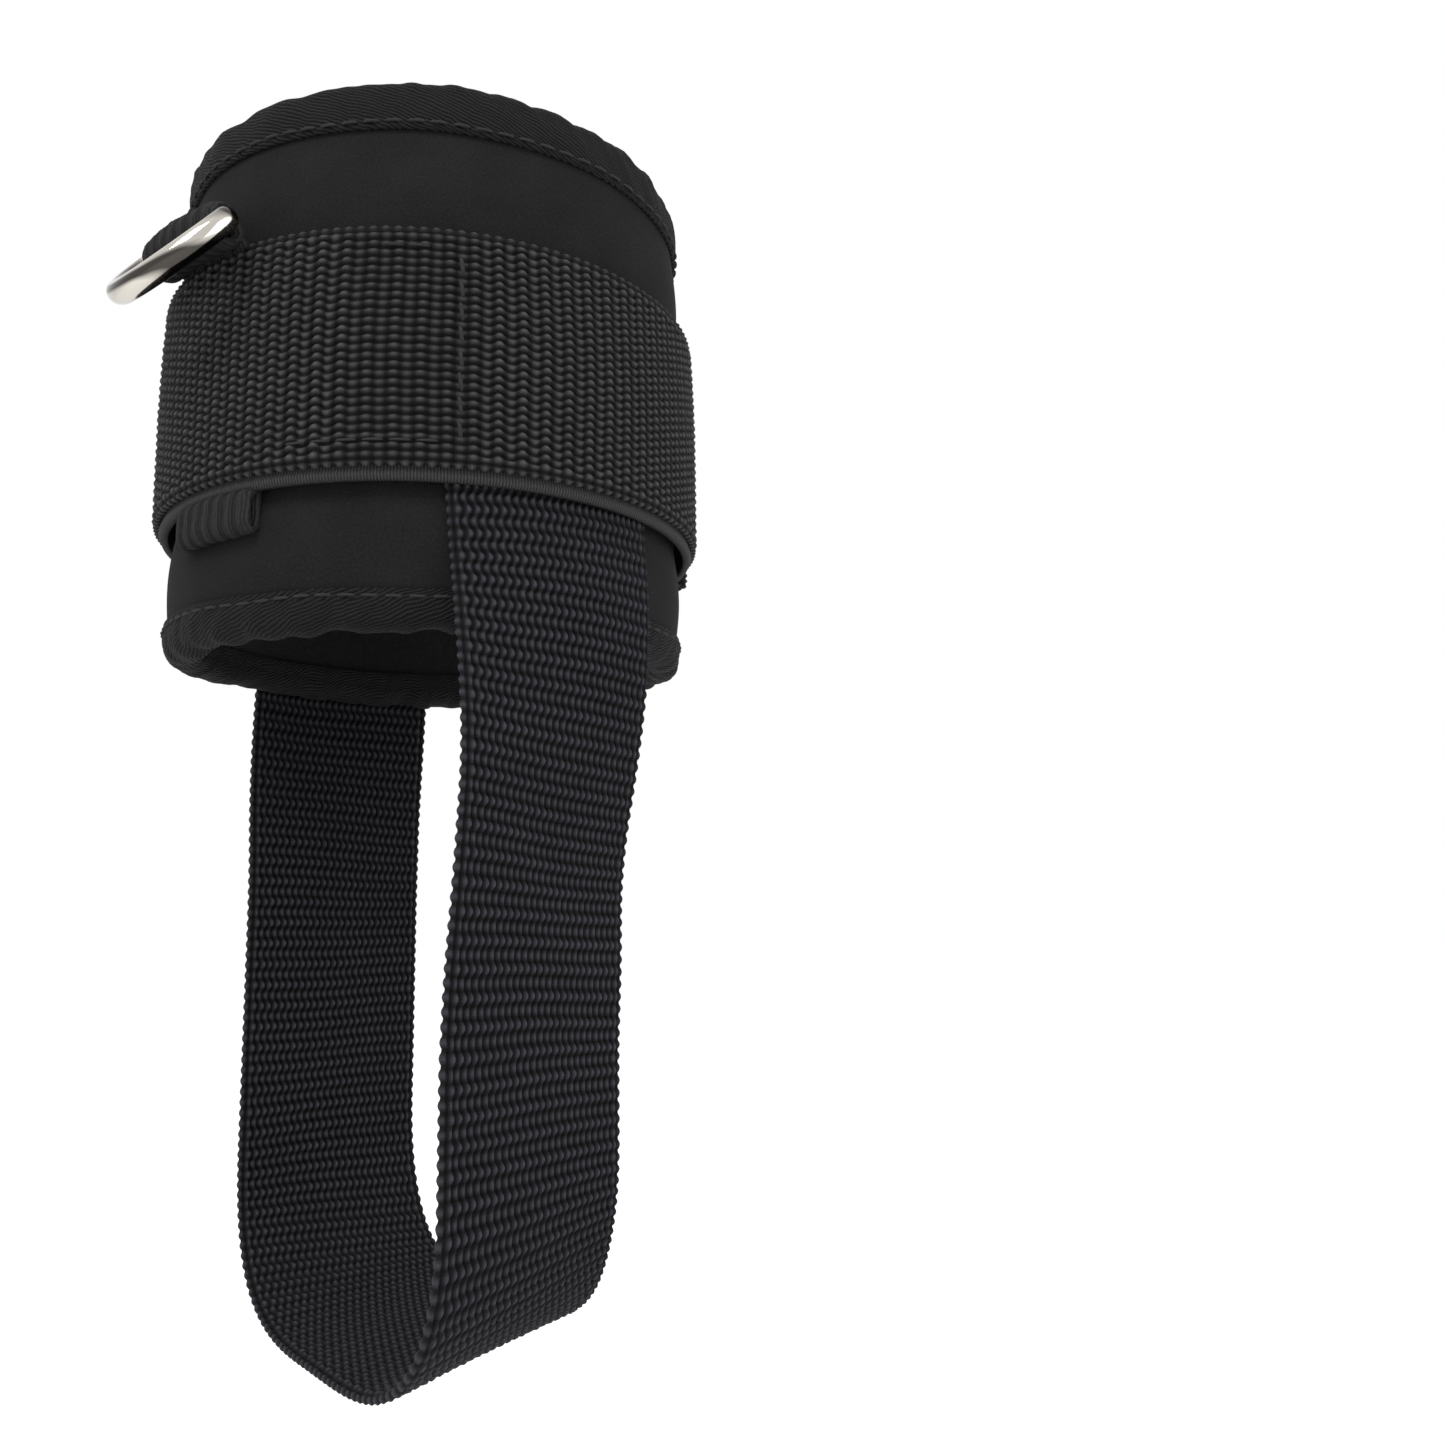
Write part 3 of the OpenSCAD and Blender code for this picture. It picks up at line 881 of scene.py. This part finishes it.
# %% [markdown]
# The keeper is a short ribbed webbing. It runs up the pad under the strap, comes out above it,
# turns round the ring's straight bar and tucks back in. Its other end is folded under itself
# and shows below the strap as a small ribbed pad. The loop follows the cuff's curve while the
# bar is straight, so out of sight its inner face runs a little into the wire.

# %% Ring keeper
KEEP_ANGLE = -52.0
KEEP_LEAN = 4.0
KEEP_WIDE = 19.2
BAR_R, BAR_Z = 52.0, 22.0
KEEP_THICK = 1.5


def smooth_line(points, step=0.4):
    """Even points along a chain of straight runs, with its corners rounded."""
    points = np.asarray(points, float)
    run = run_along(points)
    new = np.linspace(0, run[-1], int(run[-1] / step))
    return soften(at_lengths(new, run, points), 4)


def keeper_line():
    """Radius and height along the keeper: bottom fold, up the pad, round the bar, tucked end."""
    turn = np.radians(np.linspace(-70, 200, 26))
    bar = [(BAR_R + 2.95 * math.sin(t), BAR_Z - 2.95 * math.cos(t)) for t in turn[::-1]]
    low = [(46.9, -21.6), (48.3, -22.6), (48.5, -27.2), (47.6, -28.4), (46.4, -27.2)]
    rise = [(46.1, -13), (46.1, 9), (46.3, 15), (47.0, 18.5)]
    return smooth_line(low + rise + bar + [(49.0, 21.4)])


def flat_strip(name, line, angle, wide, thick, ribs=0.0, across_steps=40, fray=0.0, pitch=0.8):
    """A strip whose length follows (radius, height) points and whose width runs round the cuff."""
    along = unit(np.gradient(line, axis=0))
    out = np.stack([along[:, 1], -along[:, 0]], 1)
    run = run_along(line)
    w = wide / 2 * np.sin(np.linspace(-np.pi / 2, np.pi / 2, across_steps))
    ww, vv = np.meshgrid(w, run)
    crest = ribs * np.cos(2 * np.pi * ww / pitch) * (np.abs(ww) < wide / 2 - 0.6)
    rough = 0.12 * ripple(ww, vv, 3.0, 71) + 0.05 * ripple(ww, vv, 0.9, 72)
    round_edge = np.sqrt(np.clip(1 - (np.abs(ww) / (wide / 2)) ** 16, 0, 1))
    face = (thick / 2 + crest + rough) * round_edge + 0.05
    ww = ww + fray * ripple(vv, 0 * vv, 1.6, 73) * (np.abs(ww) > wide / 2 - 1)
    top = line[:, None, :] + out[:, None, :] * face[..., None]
    back = line[:, None, :] - out[:, None, :] * face[..., None]
    both = np.concatenate([top, back[:, ::-1]], 1)
    sides = np.concatenate([ww, ww[:, ::-1]], 1)
    lean = KEEP_LEAN * (1 - ease(both[..., 1], -20, 12))
    rings = polar(both[..., 0], angle + lean + np.degrees(sides / 49.0), both[..., 1])
    v2 = np.concatenate([vv, vv[:, ::-1]], 1)
    return loft(name, rings, {"cloth": np.stack([sides, v2, 0 * v2], -1)})


keeper = flat_strip("keeper_tape", keeper_line(), KEEP_ANGLE, KEEP_WIDE, KEEP_THICK,
                    ribs=0.13, across_steps=220, fray=0.2)
finish_piece(keeper, keeper_finish, "tape", "cuff", "ring_keeper")

# %% [markdown]
# The ring is one bent wire: a straight bar in the keeper and a bow in front of it. The bow's
# plane hangs forward and down from the bar. A tube swept along the closed path makes it.

# %% D-ring
RING_WIRE = 4.0
RING_INNER = 20.0
RING_REACH = 14.5
RING_DROOP = 51.0


def ring_outline():
    """The wire's middle line in its own plane: across the bar, and out from it."""
    half = RING_INNER / 2 + RING_WIRE / 2
    corner = 1.8
    points = [(x, 0.0) for x in np.linspace(-half + corner, half - corner, 20)]
    points += [(half - corner + corner * math.sin(t), corner - corner * math.cos(t))
               for t in np.linspace(0, np.pi / 2, 9)[1:]]
    rise = RING_REACH - corner
    points += [(half * math.cos(t), corner + rise * math.sin(t))
               for t in np.linspace(0, np.pi, 60)[1:-1]]
    points += [(-half + corner - corner * math.sin(t), corner - corner * math.cos(t))
               for t in np.linspace(np.pi / 2, 0, 9)[:-1]]
    return np.array(points)


def closed_tube(name, line, radius, sides=28):
    """A round wire along a closed line of points in mm."""
    ahead = np.roll(line, -1, 0) - np.roll(line, 1, 0)
    ahead = unit(ahead)
    flat_way = np.cross(line[len(line) // 3] - line[0], line[2 * len(line) // 3] - line[0])
    side = unit(np.cross(unit(flat_way), ahead))
    up = np.cross(ahead, side)
    turn = np.linspace(0, 2 * np.pi, sides, endpoint=False)
    rings = line[:, None] + radius * (side[:, None] * np.cos(turn)[None, :, None]
                                      + up[:, None] * np.sin(turn)[None, :, None])
    return loft(name, rings, closed=True)


bar_middle = polar(BAR_R, KEEP_ANGLE, BAR_Z)
tangent = np.array([math.cos(math.radians(KEEP_ANGLE)), math.sin(math.radians(KEEP_ANGLE)), 0])
outwards = polar(1.0, KEEP_ANGLE, 0.0)
droop = math.radians(RING_DROOP)
forward = outwards * math.cos(droop) + np.array([0, 0, -math.sin(droop)])
outline = ring_outline()
ring_line = bar_middle + outline[:, :1] * tangent + outline[:, 1:] * forward
d_ring = closed_tube("ring_wire", ring_line, RING_WIRE / 2)
finish_piece(d_ring, nickel_finish, "ring", "ring", "d_ring")

# %% [markdown]
# Thread shows as short raised stitches with a dip between them. Each is a small arched capsule
# that dives into the cloth at both ends. One function places a row of them along any line.

# %% Stitches


STITCH_GAP = 1.22


def stitches(name, line, outward, long, radius, rise, material, body, *nodes, lean=0.0):
    """A row of stitches along a line; line and outward give a point and a way out at s in mm."""
    run = run_along(line)
    pitch = long * STITCH_GAP
    count = int(run[-1] / pitch)
    sides, steps = 8, 9
    turn = np.linspace(0, 2 * np.pi, sides, endpoint=False)
    all_points, all_corners, all_starts, cloth = [], [], [], []
    corners, starts = loft_faces(steps, sides)
    for i in range(count):
        s = (i + 0.5) * pitch + np.linspace(-long / 2, long / 2, steps)
        middle = at_lengths(s, run, line)
        out = at_lengths(s, run, outward)
        t = np.linspace(-1, 1, steps)
        middle = middle + out * (rise * (1 - t ** 2) - 0.55 * radius)[:, None]
        side = np.cross(out, unit(middle[-1] - middle[0]))
        middle = middle + side * (lean * t)[:, None]
        size = radius * np.sqrt(np.clip(1.02 - t ** 6, 0.05, 1))
        ring = middle[:, None] + size[:, None, None] * (
            side[:, None] * np.cos(turn)[None, :, None] + out[:, None] * np.sin(turn)[None, :, None]
        )
        all_points.append(ring.reshape(-1, 3))
        all_corners.append(corners + i * steps * sides)
        all_starts.append(starts + i * len(corners))
        around, along = np.meshgrid(turn * radius, s)
        cloth.append(np.stack([along, around, 0 * along], -1).reshape(-1, 3))
    points = np.concatenate(all_points)
    values = {"cloth": np.concatenate(cloth), "crown_and_shade": np.full(len(points), 0.9)}
    piece = make_piece(name, points, np.concatenate(all_corners), np.concatenate(all_starts), values)
    return finish_piece(piece, material, "thread", body, *nodes)


def around_line(radius, first, last, z):
    angles = np.linspace(first, last, max(8, int(abs(last - first) * 2)))
    line = polar(radius(angles) if callable(radius) else radius, angles, z)
    out = polar(1.0, angles, 0.0)
    out[:, 2] = 0
    return line, out


def top_lean(z):
    """How far the strap's face leans in towards its top edge."""
    return 0.7 * np.clip((z - STRAP_MID + 4) / 23, 0, 1) ** 2


STRAP_FACE = STRAP_IN + WEB_THICK + 0.05
heights = np.linspace(STRAP_LOW + 3.2, STRAP_TOP - 3.0, 60)
upright = polar(STRAP_FACE - top_lean(heights), BOX_LINE, heights)
upright_out = np.repeat(polar(1.0, BOX_LINE, 0.0)[None, :], len(heights), 0)
stitches("box_upright", upright, upright_out, 3.2, 0.33, 0.34, thread_finish, "cuff", "strap_box_stitch",
         lean=0.2)
line, out = around_line(STRAP_FACE, -29, 1.5, STRAP_LOW + 3.0)
stitches("box_low_row", line, out, 3.4, 0.22, 0.2, thread_finish, "cuff")
line, out = around_line(STRAP_FACE - 0.5, -12, 1.5, STRAP_TOP - 2.6)
stitches("box_top_row", line, out, 3.4, 0.22, 0.2, thread_finish, "cuff")
for side, node in ((1, "top_binding_stitch"), (-1, "bottom_binding_stitch")):
    angles = np.linspace(GAP_FROM + 3, GAP_TO - 3, 700)
    z = side * (seam_at(angles, side) + 1.2 + 0.15 * ripple(angles * 0.8, 0 * angles, 20, 81))
    line = polar(pad_outside(angles, z) + 0.84, angles, z)
    out = polar(1.0, angles, 0.0)
    stitches("binding_row_" + ("top" if side > 0 else "low"), line, out, 3.0, 0.26, 0.22,
             thread_finish, "cuff", node)
z_line = np.linspace(STRAP_LOW + 3, STRAP_TOP - 3, 40)
hem_line = polar(STRAP_IN + TAB_RISE + 3.4 - top_lean(z_line), TAB_END + 5, z_line)
hem_out = np.repeat(polar(1.0, TAB_END + 5, 0.0)[None, :], len(z_line), 0)
stitches("hem_row", hem_line, hem_out, 2.8, 0.32, 0.3, thread_finish, "tab", "tab_stitch")

# %% [markdown]
# The camera stands close to the cuff and is turned towards it, a little to one side, so both
# legs keep their size and the top shows as a thin ellipse. The light is a pale tent: a bright
# even world, one soft light high on the left and a weaker one on the right.

# %% Camera, light and floor
CAMERA_AT = (-3.5, -250.0, -91.6)
YAW, PITCH, ROLL = 13.12, 8.99, 0.87
LENS = 33.14

scene = bpy.context.scene
camera_data = bpy.data.cameras.new("camera")
camera_data.lens = LENS
camera_data.sensor_width = 36.0
camera_data.clip_start = 0.01
camera = bpy.data.objects.new("camera", camera_data)
scene.collection.objects.link(camera)
camera.location = [x * MM for x in CAMERA_AT]
camera.rotation_euler = (math.radians(90 + PITCH), math.radians(ROLL), math.radians(-YAW))
scene.camera = camera

world = bpy.data.worlds.new("tent")
scene.world = world
world.use_nodes = True
world.node_tree.nodes["Background"].inputs["Color"].default_value = (1, 1, 1, 1)
world.node_tree.nodes["Background"].inputs["Strength"].default_value = 1.0
scene.view_settings.view_transform = "Standard"


def soft_light(name, place, size, power, aim=(0, 0, -0.02)):
    """A square light pointing at the cuff."""
    data = bpy.data.lights.new(name, "AREA")
    data.size = size
    data.energy = power
    light = bpy.data.objects.new(name, data)
    scene.collection.objects.link(light)
    light.location = place
    way = light.location - Vector(aim)
    light.rotation_euler = way.to_track_quat("Z", "Y").to_euler()
    return light


soft_light("key", (-0.45, -0.65, 0.75), 0.5, 8.0)
soft_light("fill", (0.8, -0.5, 0.25), 0.8, 3.0)

floor_z = (LOOP_LOW - 60) * MM
bpy.ops.mesh.primitive_plane_add(size=12, location=(0, 0, floor_z))
floor = bpy.context.object
floor.name = "floor"
paper = Finish("paper", 0.9)
paper.shader.inputs["Base Color"].default_value = (0.82, 0.82, 0.82, 1)
paper.shader.inputs["Emission Color"].default_value = (1, 1, 1, 1)
paper.shader.inputs["Emission Strength"].default_value = 0.22
floor.data.materials.append(paper.material)
